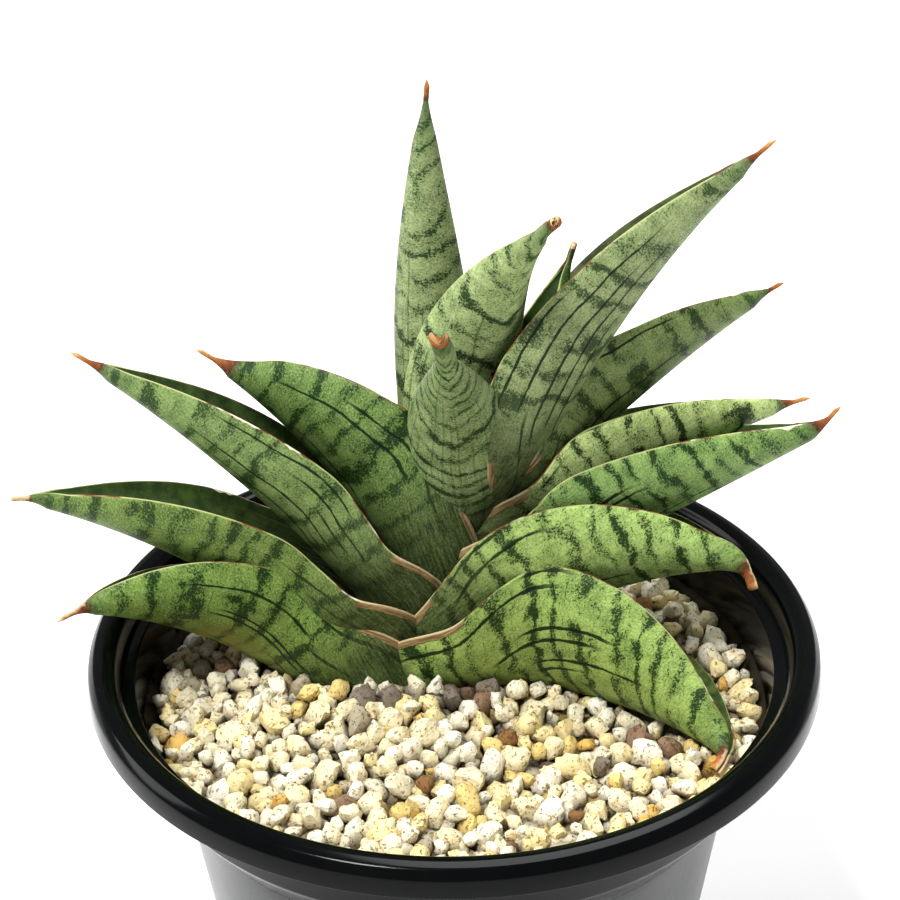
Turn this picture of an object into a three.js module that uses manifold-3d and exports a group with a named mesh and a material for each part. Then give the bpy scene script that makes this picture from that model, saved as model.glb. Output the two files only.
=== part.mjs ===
// Potted snake plant with thick channelled leaves in two ranks, in a round plastic pot of pumice.
// Millimetres, +Z up. The origin is the centre of the pot's underside.
import * as THREE from 'three';
import { mergeVertices } from 'three/addons/utils/BufferGeometryUtils.js';
import Module from 'manifold-3d';

const wasm = await Module();
wasm.setup();

const GAP = 0.45; // clearance kept between neighbouring solids
const ROUND_SIDES = 40; // facets round the pot and the bed
const DEG = Math.PI / 180;

// Pot: a moulded body with a shoulder, a collar and a rolled rim
const FOOT_RADIUS = 35.6;
const BODY_TOP = { radius: 46.6, height: 76.5 };
const COLLAR = { radius: 53.4, foot: 85, top: 93.6 };
const RIM = { radius: 60, edge: 95.3, crest: 100.1, crestRadius: 57.2, inner: 54.3 };
const LEDGE = { radius: 52.4, height: 95 };
const FLOOR = 3.6;
const WALL = 1.2;
const DRAIN = { count: 8, radius: 2.6, circle: 20, channelInner: 12, channelOuter: 28, channelHeight: 2.2 };
const FOOT_NOTCH = { count: 4, length: 12, width: 6, height: 1.2 };

// Pumice bed: it meets the pot at the shoulder, and rises in a low mound round the stem
const BED = { edge: 83.6, top: 84.6 };
const MOUND = { x: -9, y: 9, height: 5.5, flat: 14, reach: 38, sunk: 1, sides: 24 };
const PEBBLE = { spacing: 9.0, rowPitch: 7.8, smallest: 3.8, largest: 5.3, flatness: 0.85 };
const PEBBLE_LAYER = { level: 85.2, spread: 0.9, reach: 45.5, shuffle: 4.3, seed: 21 };

// Stem: it leans to the right, from deep in the bed up to the youngest leaves
const STEM_FOOT = new THREE.Vector3(-9, 13, 86);
const STEM_HEAD = new THREE.Vector3(10, 16, 122);
const STEM = { buriedTo: 62, top: 114, footRadius: 6.2, topRadius: 2 };

// Leaves, oldest first. height is the level of the node, sheath the radius of the base that wraps the
// stem, wrap the half angle of that curl, and open the share of the length over which it opens.
// half is half the width of the flattened blade. heading (0 right, 90 away, 180 left) and rise are the
// blade's direction at its base and tip, and neck is the extra rise of the sheath. roll turns the
// blade about its own axis, and turn moves the base round the stem. Lengths in mm, angles in degrees.
const LEAVES = [
  { name: 'leaf_01', height: 81, sheath: 15.2, wrap: 118, open: 0.3, length: 49.5, half: 19.5,
    heading: [192, 212], rise: [52, 14], neck: 40, roll: [-22, -40] },
  { name: 'leaf_02', height: 82, sheath: 13.2, wrap: 106, open: 0.3, length: 56.4, half: 26, widest: 0.35,
    heading: [-15, -60], rise: [15.5, -4], neck: 28, roll: [33, 63] },
  { name: 'leaf_03', height: 86, sheath: 12.2, open: 0.22, length: 64, half: 18,
    heading: [184, 186], rise: [50, 16], neck: 50, roll: [-20, -20] },
  { name: 'leaf_04', height: 84.5, sheath: 11.4, wrap: 112, open: 0.4, length: 58, half: 25, widest: 0.4,
    heading: [-5, -20], rise: [49, 4], neck: 5, roll: [15, 40] },
  { name: 'leaf_05', height: 94, sheath: 10.2, open: 0.22, length: 68, half: 17,
    heading: [178, 178], rise: [56, 34], neck: 50, roll: [-22, -22] },
  { name: 'leaf_06', height: 95.5, sheath: 8.8, wrap: 125, open: 0.3, length: 69, half: 22,
    heading: [3, -7], rise: [26, 32], neck: 30, roll: [20, 28] },
  { name: 'leaf_07', height: 103, sheath: 9.2, wrap: 145, open: 0.5, length: 49.5, half: 22.5,
    heading: [165, 165], rise: [62, 28], neck: 30, roll: [-38, -38] },
  { name: 'leaf_08', height: 104.5, sheath: 6, wrap: 125, open: 0.25, length: 60, half: 17,
    heading: [12, 12], rise: [29, 10], neck: 35, roll: [26, 32] },
  { name: 'leaf_09', height: 110, sheath: 6, length: 62, half: 18,
    heading: [24, 24], rise: [42, 19], neck: 20, roll: [35, 35] },
  { name: 'leaf_10', height: 111, sheath: 5.5, wrap: 100, length: 77, half: 19,
    heading: [5, 5], rise: [74, 41], roll: [22, 22] },
  { name: 'leaf_11', height: 107, sheath: 5, length: 63, half: 13, widest: 0.2, taper: 2.2,
    heading: [-96, -96], rise: [90, 35] },
  { name: 'leaf_12', height: 111, sheath: 5, length: 68.5, half: 14,
    heading: [-60, -60], rise: [109, 38.5], neck: -10, roll: [-4, -4] },
  { name: 'leaf_13', height: 112, sheath: 7, length: 73, half: 9, taper: 1.5,
    heading: [-45, -120], rise: [101, 101], neck: -10, roll: [60, 0], turn: -105 },
  { name: 'leaf_14', height: 112, sheath: 4, length: 48, half: 9,
    heading: [22, 22], rise: [76, 72] },
];
const LEAF_FORM = { wrap: 130, neck: 0, roll: [0, 0], turn: 0, taper: 1.2, widest: 0.32, open: 0.2 };
const NECK_REACH = 0.16; // share of the length over which the neck straightens
const ROLL_REACH = [0.05, 0.4]; // shares of the length between which the roll sets in
const CHANNEL = { blade: 75, tip: 85 }; // half angle of the trough along the blade and at its tip
const THICKNESS = { blade: 4.5, sheath: 0.55, tip: 0.35, margin: 0.7, fullness: 1.6, bladeFrom: 0.3 };
const SPINE = { half: 0.7, length: 1.2 };
const LEAF_STATIONS = 14;
const LEAF_STEPS = 8; // steps of the centre line between two stations
const LEAF_COLUMNS = 7;

const YOUNG_FROM = 106; // leaves whose node is higher than this are young and greyer
const COLOURS = { pot: 0x151617, bed: 0xcfc6ad, stem: 0x7d7450, leaf: 0x6f8f55, youngLeaf: 0x8ea67c };

// Closed solids from three.js geometry, and back

function solidFrom(geometry) {
  const bare = new THREE.BufferGeometry();
  bare.setAttribute('position', geometry.getAttribute('position'));
  if (geometry.index) bare.setIndex(geometry.index);
  const merged = mergeVertices(bare, 1e-4);
  const place = merged.getAttribute('position').array;
  const index = merged.index.array;
  const faces = [];
  let volume = 0;
  for (let i = 0; i < index.length; i += 3) {
    const [a, b, c] = [index[i], index[i + 1], index[i + 2]];
    if (a === b || b === c || c === a) continue;
    faces.push(a, b, c);
    const corner = [a, b, c].map((k) => new THREE.Vector3().fromArray(place, 3 * k));
    volume += corner[0].dot(corner[1].cross(corner[2])) / 6;
  }
  if (volume < 0) {
    for (let i = 0; i < faces.length; i += 3) [faces[i], faces[i + 1]] = [faces[i + 1], faces[i]];
  }
  return new wasm.Manifold(new wasm.Mesh({
    numProp: 3, vertProperties: Float32Array.from(place), triVerts: Uint32Array.from(faces),
  }));
}

function geometryFrom(solid) {
  const mesh = solid.getMesh();
  const geometry = new THREE.BufferGeometry();
  geometry.setAttribute('position', new THREE.BufferAttribute(mesh.vertProperties, 3));
  geometry.setIndex(new THREE.BufferAttribute(mesh.triVerts, 1));
  return geometry;
}

function lathe(profile) {
  const points = profile.map(([radius, height]) => new THREE.Vector2(radius, height));
  return solidFrom(new THREE.LatheGeometry(points, ROUND_SIDES).rotateX(Math.PI / 2));
}

function largestPiece(solid) {
  return solid.decompose().reduce((best, piece) => (piece.volume() > best.volume() ? piece : best));
}

function smooth(value, from, to) {
  const t = THREE.MathUtils.clamp((value - from) / (to - from), 0, 1);
  return t * t * (3 - 2 * t);
}

// Pot

function potSolid() {
  const rimThroat = RIM.crestRadius;
  const outside = [
    [0, 0], [DRAIN.channelInner, 0], [DRAIN.channelInner + 1, DRAIN.channelHeight],
    [DRAIN.channelOuter - 1, DRAIN.channelHeight], [DRAIN.channelOuter, 0],
    [FOOT_RADIUS, 0], [FOOT_RADIUS + 1, 1], [BODY_TOP.radius, BODY_TOP.height],
    [BODY_TOP.radius + 1, BODY_TOP.height + 1.1], [COLLAR.radius - 1, COLLAR.foot],
    [COLLAR.radius, COLLAR.top],
  ];
  const rimInside = [
    [COLLAR.radius + 1.6, COLLAR.top + 0.2], [rimThroat - 1.6, RIM.edge + 0.2],
    [rimThroat - 1, RIM.crest - 1.9], [rimThroat, RIM.crest - WALL], [rimThroat + 1, RIM.crest - 1.9],
    [RIM.radius - WALL, RIM.edge],
  ];
  const rimOutside = [
    [RIM.radius, RIM.edge], [RIM.radius - 0.4, RIM.crest - 1.7], [RIM.radius - 1.4, RIM.crest - 0.4],
    [rimThroat, RIM.crest], [rimThroat - 1.4, RIM.crest - 0.4], [RIM.inner + 0.6, RIM.crest - 1.7],
    [RIM.inner, LEDGE.height],
  ];
  const inside = [
    [LEDGE.radius, LEDGE.height], [COLLAR.radius - 1.8, COLLAR.foot + 1.4],
    [BODY_TOP.radius - 0.4, BODY_TOP.height + 2.3], [BODY_TOP.radius - WALL, BODY_TOP.height + 1.1],
    [FOOT_RADIUS - 0.8, FLOOR], [0, FLOOR],
  ];
  let pot = lathe([...outside, ...rimInside, ...rimOutside, ...inside]);
  for (let i = 0; i < DRAIN.count; i++) {
    const angle = (2 * Math.PI * (i + 0.5)) / DRAIN.count;
    const hole = new THREE.CylinderGeometry(DRAIN.radius, DRAIN.radius, 4 * FLOOR, 8).rotateX(Math.PI / 2);
    hole.translate(DRAIN.circle * Math.cos(angle), DRAIN.circle * Math.sin(angle), 0);
    pot = pot.subtract(solidFrom(hole));
  }
  for (let i = 0; i < FOOT_NOTCH.count; i++) {
    const notch = new THREE.BoxGeometry(FOOT_NOTCH.length, FOOT_NOTCH.width, 2 * FOOT_NOTCH.height);
    notch.translate(FOOT_RADIUS - 2, 0, 0).rotateZ((2 * Math.PI * (i + 0.5)) / FOOT_NOTCH.count);
    pot = pot.subtract(solidFrom(notch));
  }
  return pot;
}

// Stem

function stemPoint(height) {
  const along = (height - STEM_FOOT.z) / (STEM_HEAD.z - STEM_FOOT.z);
  return STEM_FOOT.clone().lerp(STEM_HEAD, along);
}

function stemSolid(extra) {
  const foot = stemPoint(STEM.buriedTo - extra);
  const head = stemPoint(STEM.top + extra);
  const axis = head.clone().sub(foot);
  const stem = new THREE.CylinderGeometry(STEM.topRadius + extra, STEM.footRadius + extra, axis.length(), 12);
  const upright = new THREE.Vector3(0, 1, 0);
  stem.applyQuaternion(new THREE.Quaternion().setFromUnitVectors(upright, axis.normalize()));
  const middle = foot.add(head).multiplyScalar(0.5);
  return solidFrom(stem.translate(middle.x, middle.y, middle.z));
}

// Leaves

function mix(pair, u) {
  return pair[0] + (pair[1] - pair[0]) * u;
}

function leafFrame(leaf, u) {
  const heading = mix(leaf.heading, u) * DEG;
  const neck = leaf.neck * Math.max(0, 1 - u / NECK_REACH) ** 2;
  const rise = (mix(leaf.rise, u) + neck) * DEG;
  const roll = mix(leaf.roll, u) * (leaf.turn ? 1 : smooth(u, ...ROLL_REACH)) * DEG;
  const flat = new THREE.Vector3(Math.cos(heading), Math.sin(heading), 0);
  const up = new THREE.Vector3(0, 0, 1);
  const along = flat.clone().multiplyScalar(Math.cos(rise)).addScaledVector(up, Math.sin(rise));
  const level = flat.clone().multiplyScalar(-Math.sin(rise)).addScaledVector(up, Math.cos(rise));
  const across = level.clone().cross(along);
  const inward = level.clone().multiplyScalar(Math.cos(roll)).addScaledVector(across, Math.sin(roll));
  const side = across.multiplyScalar(Math.cos(roll)).addScaledVector(level, -Math.sin(roll));
  return { along, inward, side };
}

function leafWidth(leaf, u) {
  const base = leaf.sheath * leaf.wrap * DEG;
  if (u < leaf.widest) return base + (leaf.half - base) * smooth(u, 0, leaf.widest);
  return leaf.half * Math.cos(((Math.PI / 2) * (u - leaf.widest)) / (1 - leaf.widest)) ** leaf.taper;
}

function leafSection(leaf, u, extra) {
  const half = Math.max(leafWidth(leaf, u), SPINE.half);
  const blade = CHANNEL.blade + (CHANNEL.tip - CHANNEL.blade) * smooth(u, 0.5, 1);
  const curl = (leaf.wrap + (blade - leaf.wrap) * smooth(u, 0, leaf.open)) * DEG;
  const body = THICKNESS.sheath + (1 - THICKNESS.sheath) * smooth(u, 0, THICKNESS.bladeFrom);
  const fade = THICKNESS.tip + (1 - THICKNESS.tip) * Math.min(1, leafWidth(leaf, u) / leaf.half);
  const radius = half / curl;
  const thick = Math.min(THICKNESS.blade * body * fade, 1.5 * radius);
  const outer = [];
  const inner = [];
  for (let j = 0; j < LEAF_COLUMNS; j++) {
    const v = (2 * j) / (LEAF_COLUMNS - 1) - 1;
    const edge = Math.min(THICKNESS.margin, thick);
    const step = (edge + (thick - edge) * (1 - Math.abs(v) ** THICKNESS.fullness)) / 2 + extra;
    const angle = curl * v * (1 + extra / Math.max(half, 2));
    const hollow = Math.min(step, 0.95 * radius);
    const reach = [radius * Math.sin(angle), radius * (1 - Math.cos(angle))];
    const facing = [-Math.sin(angle), Math.cos(angle)];
    outer.push([reach[0] - facing[0] * step, reach[1] - facing[1] * step]);
    inner.push([reach[0] + facing[0] * hollow, reach[1] + facing[1] * hollow]);
  }
  return [...outer, ...inner.reverse()];
}

function leafSolid(given, extra) {
  const leaf = { ...LEAF_FORM, ...given };
  const around = 2 * LEAF_COLUMNS;
  const steps = LEAF_STEPS * (LEAF_STATIONS - 1);
  const direction = (leaf.heading[0] + leaf.turn) * DEG;
  const outward = new THREE.Vector3(Math.cos(direction), Math.sin(direction), 0);
  const point = stemPoint(leaf.height).addScaledVector(outward, leaf.sheath);
  const corners = [];
  for (let k = 0; k <= steps; k++) {
    const frame = leafFrame(leaf, k / steps);
    if (k > 0) point.addScaledVector(leafFrame(leaf, (k - 0.5) / steps).along, leaf.length / steps);
    if (k % LEAF_STEPS) continue;
    const shift = k === 0 ? -extra : 0;
    for (const [sideways, inwards] of leafSection(leaf, k / steps, extra)) {
      const corner = point.clone().addScaledVector(frame.along, shift);
      corners.push(corner.addScaledVector(frame.side, sideways).addScaledVector(frame.inward, inwards));
    }
    if (k === steps) corners.push(point.clone().addScaledVector(frame.along, SPINE.length + extra));
  }
  const faces = [];
  for (let i = 0; i < LEAF_STATIONS - 1; i++) {
    for (let j = 0; j < around; j++) {
      const [a, b] = [i * around + j, i * around + ((j + 1) % around)];
      faces.push(a, b, b + around, a, b + around, a + around);
    }
  }
  for (let j = 0; j < LEAF_COLUMNS - 1; j++) {
    const [a, b, c, d] = [j, j + 1, around - 2 - j, around - 1 - j];
    faces.push(b, a, d, b, d, c);
  }
  const last = (LEAF_STATIONS - 1) * around;
  for (let j = 0; j < around; j++) faces.push(last + j, last + ((j + 1) % around), last + around);
  const geometry = new THREE.BufferGeometry().setFromPoints(corners);
  geometry.setIndex(faces);
  return solidFrom(geometry);
}

// Each leaf is cut clear of the stem and of every younger leaf that it wraps
function leafSolids() {
  const done = new Map();
  let core = stemSolid(GAP);
  for (const leaf of [...LEAVES].reverse()) {
    done.set(leaf.name, largestPiece(leafSolid(leaf, 0).subtract(core)));
    core = core.add(leafSolid(leaf, GAP));
  }
  return { done, core };
}

// Pumice bed

function seededRandom(seed) {
  let state = seed;
  return () => {
    state = (state * 1664525 + 1013904223) % 4294967296;
    return state / 4294967296;
  };
}

function pebbleSolid(random, x, y) {
  const pebble = new THREE.IcosahedronGeometry(1, 0);
  const size = () => THREE.MathUtils.lerp(PEBBLE.smallest, PEBBLE.largest, random());
  pebble.scale(size(), size(), size() * PEBBLE.flatness);
  pebble.rotateX(random() * Math.PI).rotateZ(random() * 2 * Math.PI);
  const lift = MOUND.height * (1 - smooth(Math.hypot(x - MOUND.x, y - MOUND.y), MOUND.flat, MOUND.reach));
  const z = PEBBLE_LAYER.level + lift + (random() - 0.5) * PEBBLE_LAYER.spread;
  return solidFrom(pebble.translate(x, y, z));
}

// The room inside the pot, a small gap away from its wall
function roomSolid() {
  return lathe([
    [0, FLOOR + GAP], [FOOT_RADIUS - 1.2, FLOOR + GAP], [BODY_TOP.radius - 1.6, BODY_TOP.height + 1.2],
    [BODY_TOP.radius - 0.8, BODY_TOP.height + 2.7], [COLLAR.radius - 2.4, COLLAR.foot + 1.6],
    [COLLAR.radius - 2.4, LEDGE.height], [0, LEDGE.height],
  ]);
}

function bedSolid(plants) {
  const random = seededRandom(PEBBLE_LAYER.seed);
  const base = lathe([
    [0, 0], [COLLAR.radius, 0], [COLLAR.radius, BED.edge], [PEBBLE_LAYER.reach, BED.top], [0, BED.top],
  ]);
  const mound = new THREE.CylinderGeometry(MOUND.flat, MOUND.reach, MOUND.height, MOUND.sides);
  mound.rotateX(Math.PI / 2).translate(MOUND.x, MOUND.y, BED.top + MOUND.height / 2 - MOUND.sunk);
  let bed = base.add(solidFrom(mound));
  const rows = Math.ceil(PEBBLE_LAYER.reach / PEBBLE.rowPitch);
  for (let row = -rows; row <= rows; row++) {
    let layer = null;
    for (let column = -rows; column <= rows; column++) {
      const x = (column + (row % 2 ? 0.5 : 0)) * PEBBLE.spacing + (random() - 0.5) * PEBBLE_LAYER.shuffle;
      const y = row * PEBBLE.rowPitch + (random() - 0.5) * PEBBLE_LAYER.shuffle;
      const pebble = pebbleSolid(random, x, y);
      if (Math.hypot(x, y) > PEBBLE_LAYER.reach) continue;
      layer = layer ? layer.add(pebble) : pebble;
    }
    if (layer) bed = bed.add(layer);
  }
  return largestPiece(bed.intersect(roomSolid()).subtract(plants));
}

// Assembly

function addPart(group, name, solid, colour, roughness) {
  const material = new THREE.MeshStandardMaterial({ color: colour, roughness, metalness: 0 });
  const mesh = new THREE.Mesh(geometryFrom(solid), material);
  mesh.name = name;
  group.add(mesh);
}

const plant = new THREE.Group();
const leaves = leafSolids();
addPart(plant, 'pot', potSolid(), COLOURS.pot, 0.25);
addPart(plant, 'pumice_bed', bedSolid(leaves.core), COLOURS.bed, 0.95);
addPart(plant, 'stem', stemSolid(0), COLOURS.stem, 0.8);
for (const leaf of LEAVES) {
  const young = leaf.height > YOUNG_FROM;
  addPart(plant, leaf.name, leaves.done.get(leaf.name), young ? COLOURS.youngLeaf : COLOURS.leaf, 0.55);
}

export default plant;
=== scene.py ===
"""A snake plant with thick channelled leaves in two ranks, in a black nursery pot of pumice."""

import math
import random
from collections import defaultdict
from types import SimpleNamespace

import bmesh
import bpy
from mathutils import Euler, Matrix, Vector, noise
from mathutils.bvhtree import BVHTree


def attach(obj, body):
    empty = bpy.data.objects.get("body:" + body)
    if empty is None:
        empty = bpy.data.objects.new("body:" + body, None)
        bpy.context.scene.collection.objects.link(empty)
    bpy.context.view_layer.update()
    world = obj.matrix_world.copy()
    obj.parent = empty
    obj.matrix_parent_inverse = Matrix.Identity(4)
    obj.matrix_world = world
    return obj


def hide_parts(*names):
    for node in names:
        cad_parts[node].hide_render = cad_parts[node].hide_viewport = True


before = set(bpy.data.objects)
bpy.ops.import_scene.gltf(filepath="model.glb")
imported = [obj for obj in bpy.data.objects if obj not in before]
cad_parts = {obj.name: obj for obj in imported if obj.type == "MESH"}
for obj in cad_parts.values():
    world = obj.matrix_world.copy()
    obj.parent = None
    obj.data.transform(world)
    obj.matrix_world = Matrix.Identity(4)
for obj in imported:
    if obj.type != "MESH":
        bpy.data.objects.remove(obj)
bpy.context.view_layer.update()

MM = 0.001

# Camera: it looks down at the plant from the front, at a point above the rim
IMAGE_WIDTH = 900
FOCAL_PIXELS = 1924.2
SENSOR_WIDTH = 36.0
CAMERA_TARGET = Vector((0.0, 0.0, 133.0)) * MM
CAMERA_DISTANCE = 300 * MM
CAMERA_PITCH = math.radians(29.63)
CAMERA_ROLL = math.radians(-1.12)

# Studio light
SUN_STRENGTH = 3.0
SUN_BREADTH = math.radians(14)
SUN_FROM = (-0.50, -0.55, 1.35)

# Pot, in millimetres from the centre of its underside
POT_STEPS = 160
FOOT_RADIUS = 35.6
BODY_TOP = SimpleNamespace(radius=46.6, height=76.5)
COLLAR = SimpleNamespace(radius=53.4, foot=85.0, top=93.6)
RIM = SimpleNamespace(radius=60.0, edge=95.3, crest=100.1, inner=54.3)
LEDGE = SimpleNamespace(radius=52.4, height=95.0)
SHOULDER = SimpleNamespace(inside=46.2, height=78.8, rise=1.4)
FLOOR = 3.6
WALL = 1.2
DRAIN = SimpleNamespace(count=8, radius=2.6, circle=20)
DRAIN_CHANNEL = SimpleNamespace(inner=12, outer=28, height=2.2)
FOOT_NOTCH = SimpleNamespace(count=4, width=6, height=1.2)

# Dried water line inside the pot: a band up the shoulder, where the radius is less than slope * height +
# offset, and splashes above it
STAIN = SimpleNamespace(foot=78, top=87.2, splash=93, slope=0.68, offset=-6.3)

# Stem
STEM_FOOT = Vector((-9, 13, 86))
STEM_HEAD = Vector((10, 16, 122))
STEM = SimpleNamespace(buried_to=62, top=114, foot_radius=6.2, top_radius=2.0)

# Leaves, roughly from the lowest up, with the values of the solids, save that leaf_13 tapers later. Lengths
# in mm, angles in degrees. Pairs give the value at the foot and the value at the tip. The leaves aren't cut
# back from each other, so their feet overlap round the stem.
LEAVES = [
    dict(name="leaf_01", height=81, sheath=15.2, wrap=118, open=0.3, length=49.5, half=19.5,
         heading=(192, 212), rise=(52, 14), neck=40, roll=(-22, -40)),
    dict(name="leaf_02", height=82, sheath=13.2, wrap=106, open=0.3, length=56.4, half=26, widest=0.35,
         heading=(-15, -60), rise=(15.5, -4), neck=28, roll=(33, 63)),
    dict(name="leaf_03", height=86, sheath=12.2, open=0.22, length=64, half=18,
         heading=(184, 186), rise=(50, 16), neck=50, roll=(-20, -20)),
    dict(name="leaf_04", height=84.5, sheath=11.4, wrap=112, open=0.4, length=58, half=25, widest=0.4,
         heading=(-5, -20), rise=(49, 4), neck=5, roll=(15, 40)),
    dict(name="leaf_05", height=94, sheath=10.2, open=0.22, length=68, half=17,
         heading=(178, 178), rise=(56, 34), neck=50, roll=(-22, -22)),
    dict(name="leaf_06", height=95.5, sheath=8.8, wrap=125, open=0.3, length=69, half=22,
         heading=(3, -7), rise=(26, 32), neck=30, roll=(20, 28)),
    dict(name="leaf_07", height=103, sheath=9.2, wrap=145, open=0.5, length=49.5, half=22.5,
         heading=(165, 165), rise=(62, 28), neck=30, roll=(-38, -38)),
    dict(name="leaf_08", height=104.5, sheath=6, wrap=125, open=0.25, length=60, half=17,
         heading=(12, 12), rise=(29, 10), neck=35, roll=(26, 32)),
    dict(name="leaf_09", height=110, sheath=6, length=62, half=18,
         heading=(24, 24), rise=(42, 19), neck=20, roll=(35, 35)),
    dict(name="leaf_10", height=111, sheath=5.5, wrap=100, length=77, half=19,
         heading=(5, 5), rise=(74, 41), roll=(22, 22)),
    dict(name="leaf_11", height=107, sheath=5, length=63, half=13, widest=0.2, taper=2.2,
         heading=(-96, -96), rise=(90, 35)),
    dict(name="leaf_12", height=111, sheath=5, length=68.5, half=14,
         heading=(-60, -60), rise=(109, 38.5), neck=-10, roll=(-4, -4)),
    dict(name="leaf_13", height=112, sheath=7, length=73, half=9, taper=1.0,
         heading=(-45, -120), rise=(101, 101), neck=-10, roll=(60, 0), turn=-105),
    dict(name="leaf_14", height=112, sheath=4, length=48, half=9,
         heading=(22, 22), rise=(76, 72)),
]
LEAF_FORM = dict(wrap=130, neck=0, roll=(0, 0), turn=0, taper=1.2, widest=0.32, open=0.2, hook=(0, 0),
                 blunt=0, slim=0.85, closed=0.9, band=1.0, line=1.0, dull=0.1, foot=0.3, yellow=0.0, pale=0.0)
NECK_REACH = 0.16
CHANNEL = SimpleNamespace(blade=75, tip=85)
THICKNESS = SimpleNamespace(blade=4.5, sheath=0.55, tip=0.35, margin=0.5)
SPINE = SimpleNamespace(half=0.7, length=1.2)
TIP_CLOSES = (9, 2)  # distances to the tip over which the channel closes
LEAF_STATIONS = 120
LEAF_RING = 56

# How each leaf looks, where it differs from LEAF_FORM. green: its lit green, set per leaf to the brightness
# the leaf shows, so partly painted light and shade, such as the very pale green of leaf_08, which lies in
# shadow. bands: the spacing of its cross-bands in mm. bend: how far they bend to the tip at the keel. band,
# line: the strength of its bands and of its long lines. dull: how dull its marks are. foot: the share of its
# length with a dark foot, partly its own olive-brown and partly painted shade. dry: the length of its dry tip
# in mm. hook: how far the tip turns in degrees, up and aside. blunt: the half width of a blunt end in mm.
# slim: the share of its width that the tip keeps. closed: how far the channel closes at the tip. pale: how
# pale the margins of the dry tip are. yellow: how yellow the blade is low down.
LEAF_LOOKS = {
    "leaf_01": dict(green=(124, 154, 66), bands=4.6, bend=-0.3, dry=5.5, hook=(-25, 0), slim=0.6,
                    pale=0.5, yellow=1.0),
    "leaf_02": dict(green=(164, 192, 98), bands=4.2, bend=0.2, dull=0.0, foot=0.04, dry=4.5,
                    hook=(-20, -75), blunt=1.7, pale=0.6),
    "leaf_03": dict(green=(122, 148, 68), bands=4.2, bend=-0.2, band=0.9, line=0.9, foot=0.36, dry=4,
                    hook=(-15, 0), blunt=0.7, pale=0.6),
    "leaf_04": dict(green=(188, 218, 122), bands=4.2, bend=0.1, dull=0.05, foot=0.5, dry=5,
                    hook=(-75, -20), blunt=1.6, pale=0.7),
    "leaf_05": dict(green=(134, 160, 90), bands=5.6, bend=-0.3, band=0.9, dull=0.2, foot=0.4, dry=5.5),
    "leaf_06": dict(green=(144, 178, 96), bands=4.0, bend=0.3, dry=5.5, hook=(25, 0)),
    "leaf_07": dict(green=(112, 140, 66), bands=4.6, bend=-0.4, dull=0.15, foot=0.36, dry=7, slim=0.5),
    # painted light: a very pale green, so that the leaf reads as lit where it lies in the shade of other
    # leaves
    "leaf_08": dict(green=(222, 244, 156), bands=4.2, bend=0.3, line=0.8, dry=5.5),
    "leaf_09": dict(green=(142, 164, 94), bands=5.5, bend=0.3, band=0.9, dull=0.3, dry=3.6),
    "leaf_10": dict(green=(160, 176, 118), bands=6.5, bend=0.4, band=0.9, dull=0.4, foot=0.4, dry=5.2),
    "leaf_11": dict(green=(146, 166, 108), bands=3.2, bend=-1.6, line=0.3, dull=0.3, dry=2.6, blunt=1.9,
                    closed=0.3, pale=0.3),
    "leaf_12": dict(green=(184, 204, 136), bands=5.5, bend=-1.2, line=0.5, dull=0.3, dry=2.2, blunt=1.7,
                    pale=1.0),
    "leaf_13": dict(green=(152, 168, 112), bands=5.0, bend=-0.9, line=0.4, dull=0.4, foot=0.2, dry=3.2,
                    slim=1.0),
    "leaf_14": dict(green=(78, 118, 40), bands=6.0, bend=0.0, band=0.25, line=0.4, dull=0.2, foot=0.2,
                    dry=2.5, blunt=0.9, pale=1.0),
}

# Pumice grains, in millimetres
GRAIN = SimpleNamespace(bottom=82.8, top=88.2, smallest=0.9, usual=1.4, largest=3.2, wall=51.6, nest=0.74,
                        lean=0.7, clear=0.8, tries=16, patience=400, seed=7)
GRAIN_FORM = SimpleNamespace(facets=5, flatness=0.9, size=1.16, lump=0.32, coarse=1.2, fine=3.1)
GRAIN_PAINTED_SHADE = (1.6, 4.4)  # depths below the top between which grains get painted shade, darker lower down in the gaps
LEAF_SEARCH = 8  # how far from a grain a leaf is looked for
MOUND = SimpleNamespace(x=-9, y=9, height=5.5, flat=14, reach=38)


def smooth(value, start, end):
    """0 at start, 1 at end, with a soft step between them."""
    t = min(1.0, max(0.0, (value - start) / (end - start)))
    return t * t * (3 - 2 * t)


def mix(pair, u):
    """The value a share u of the way through the pair."""
    return pair[0] + (pair[1] - pair[0]) * u


# Materials


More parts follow.
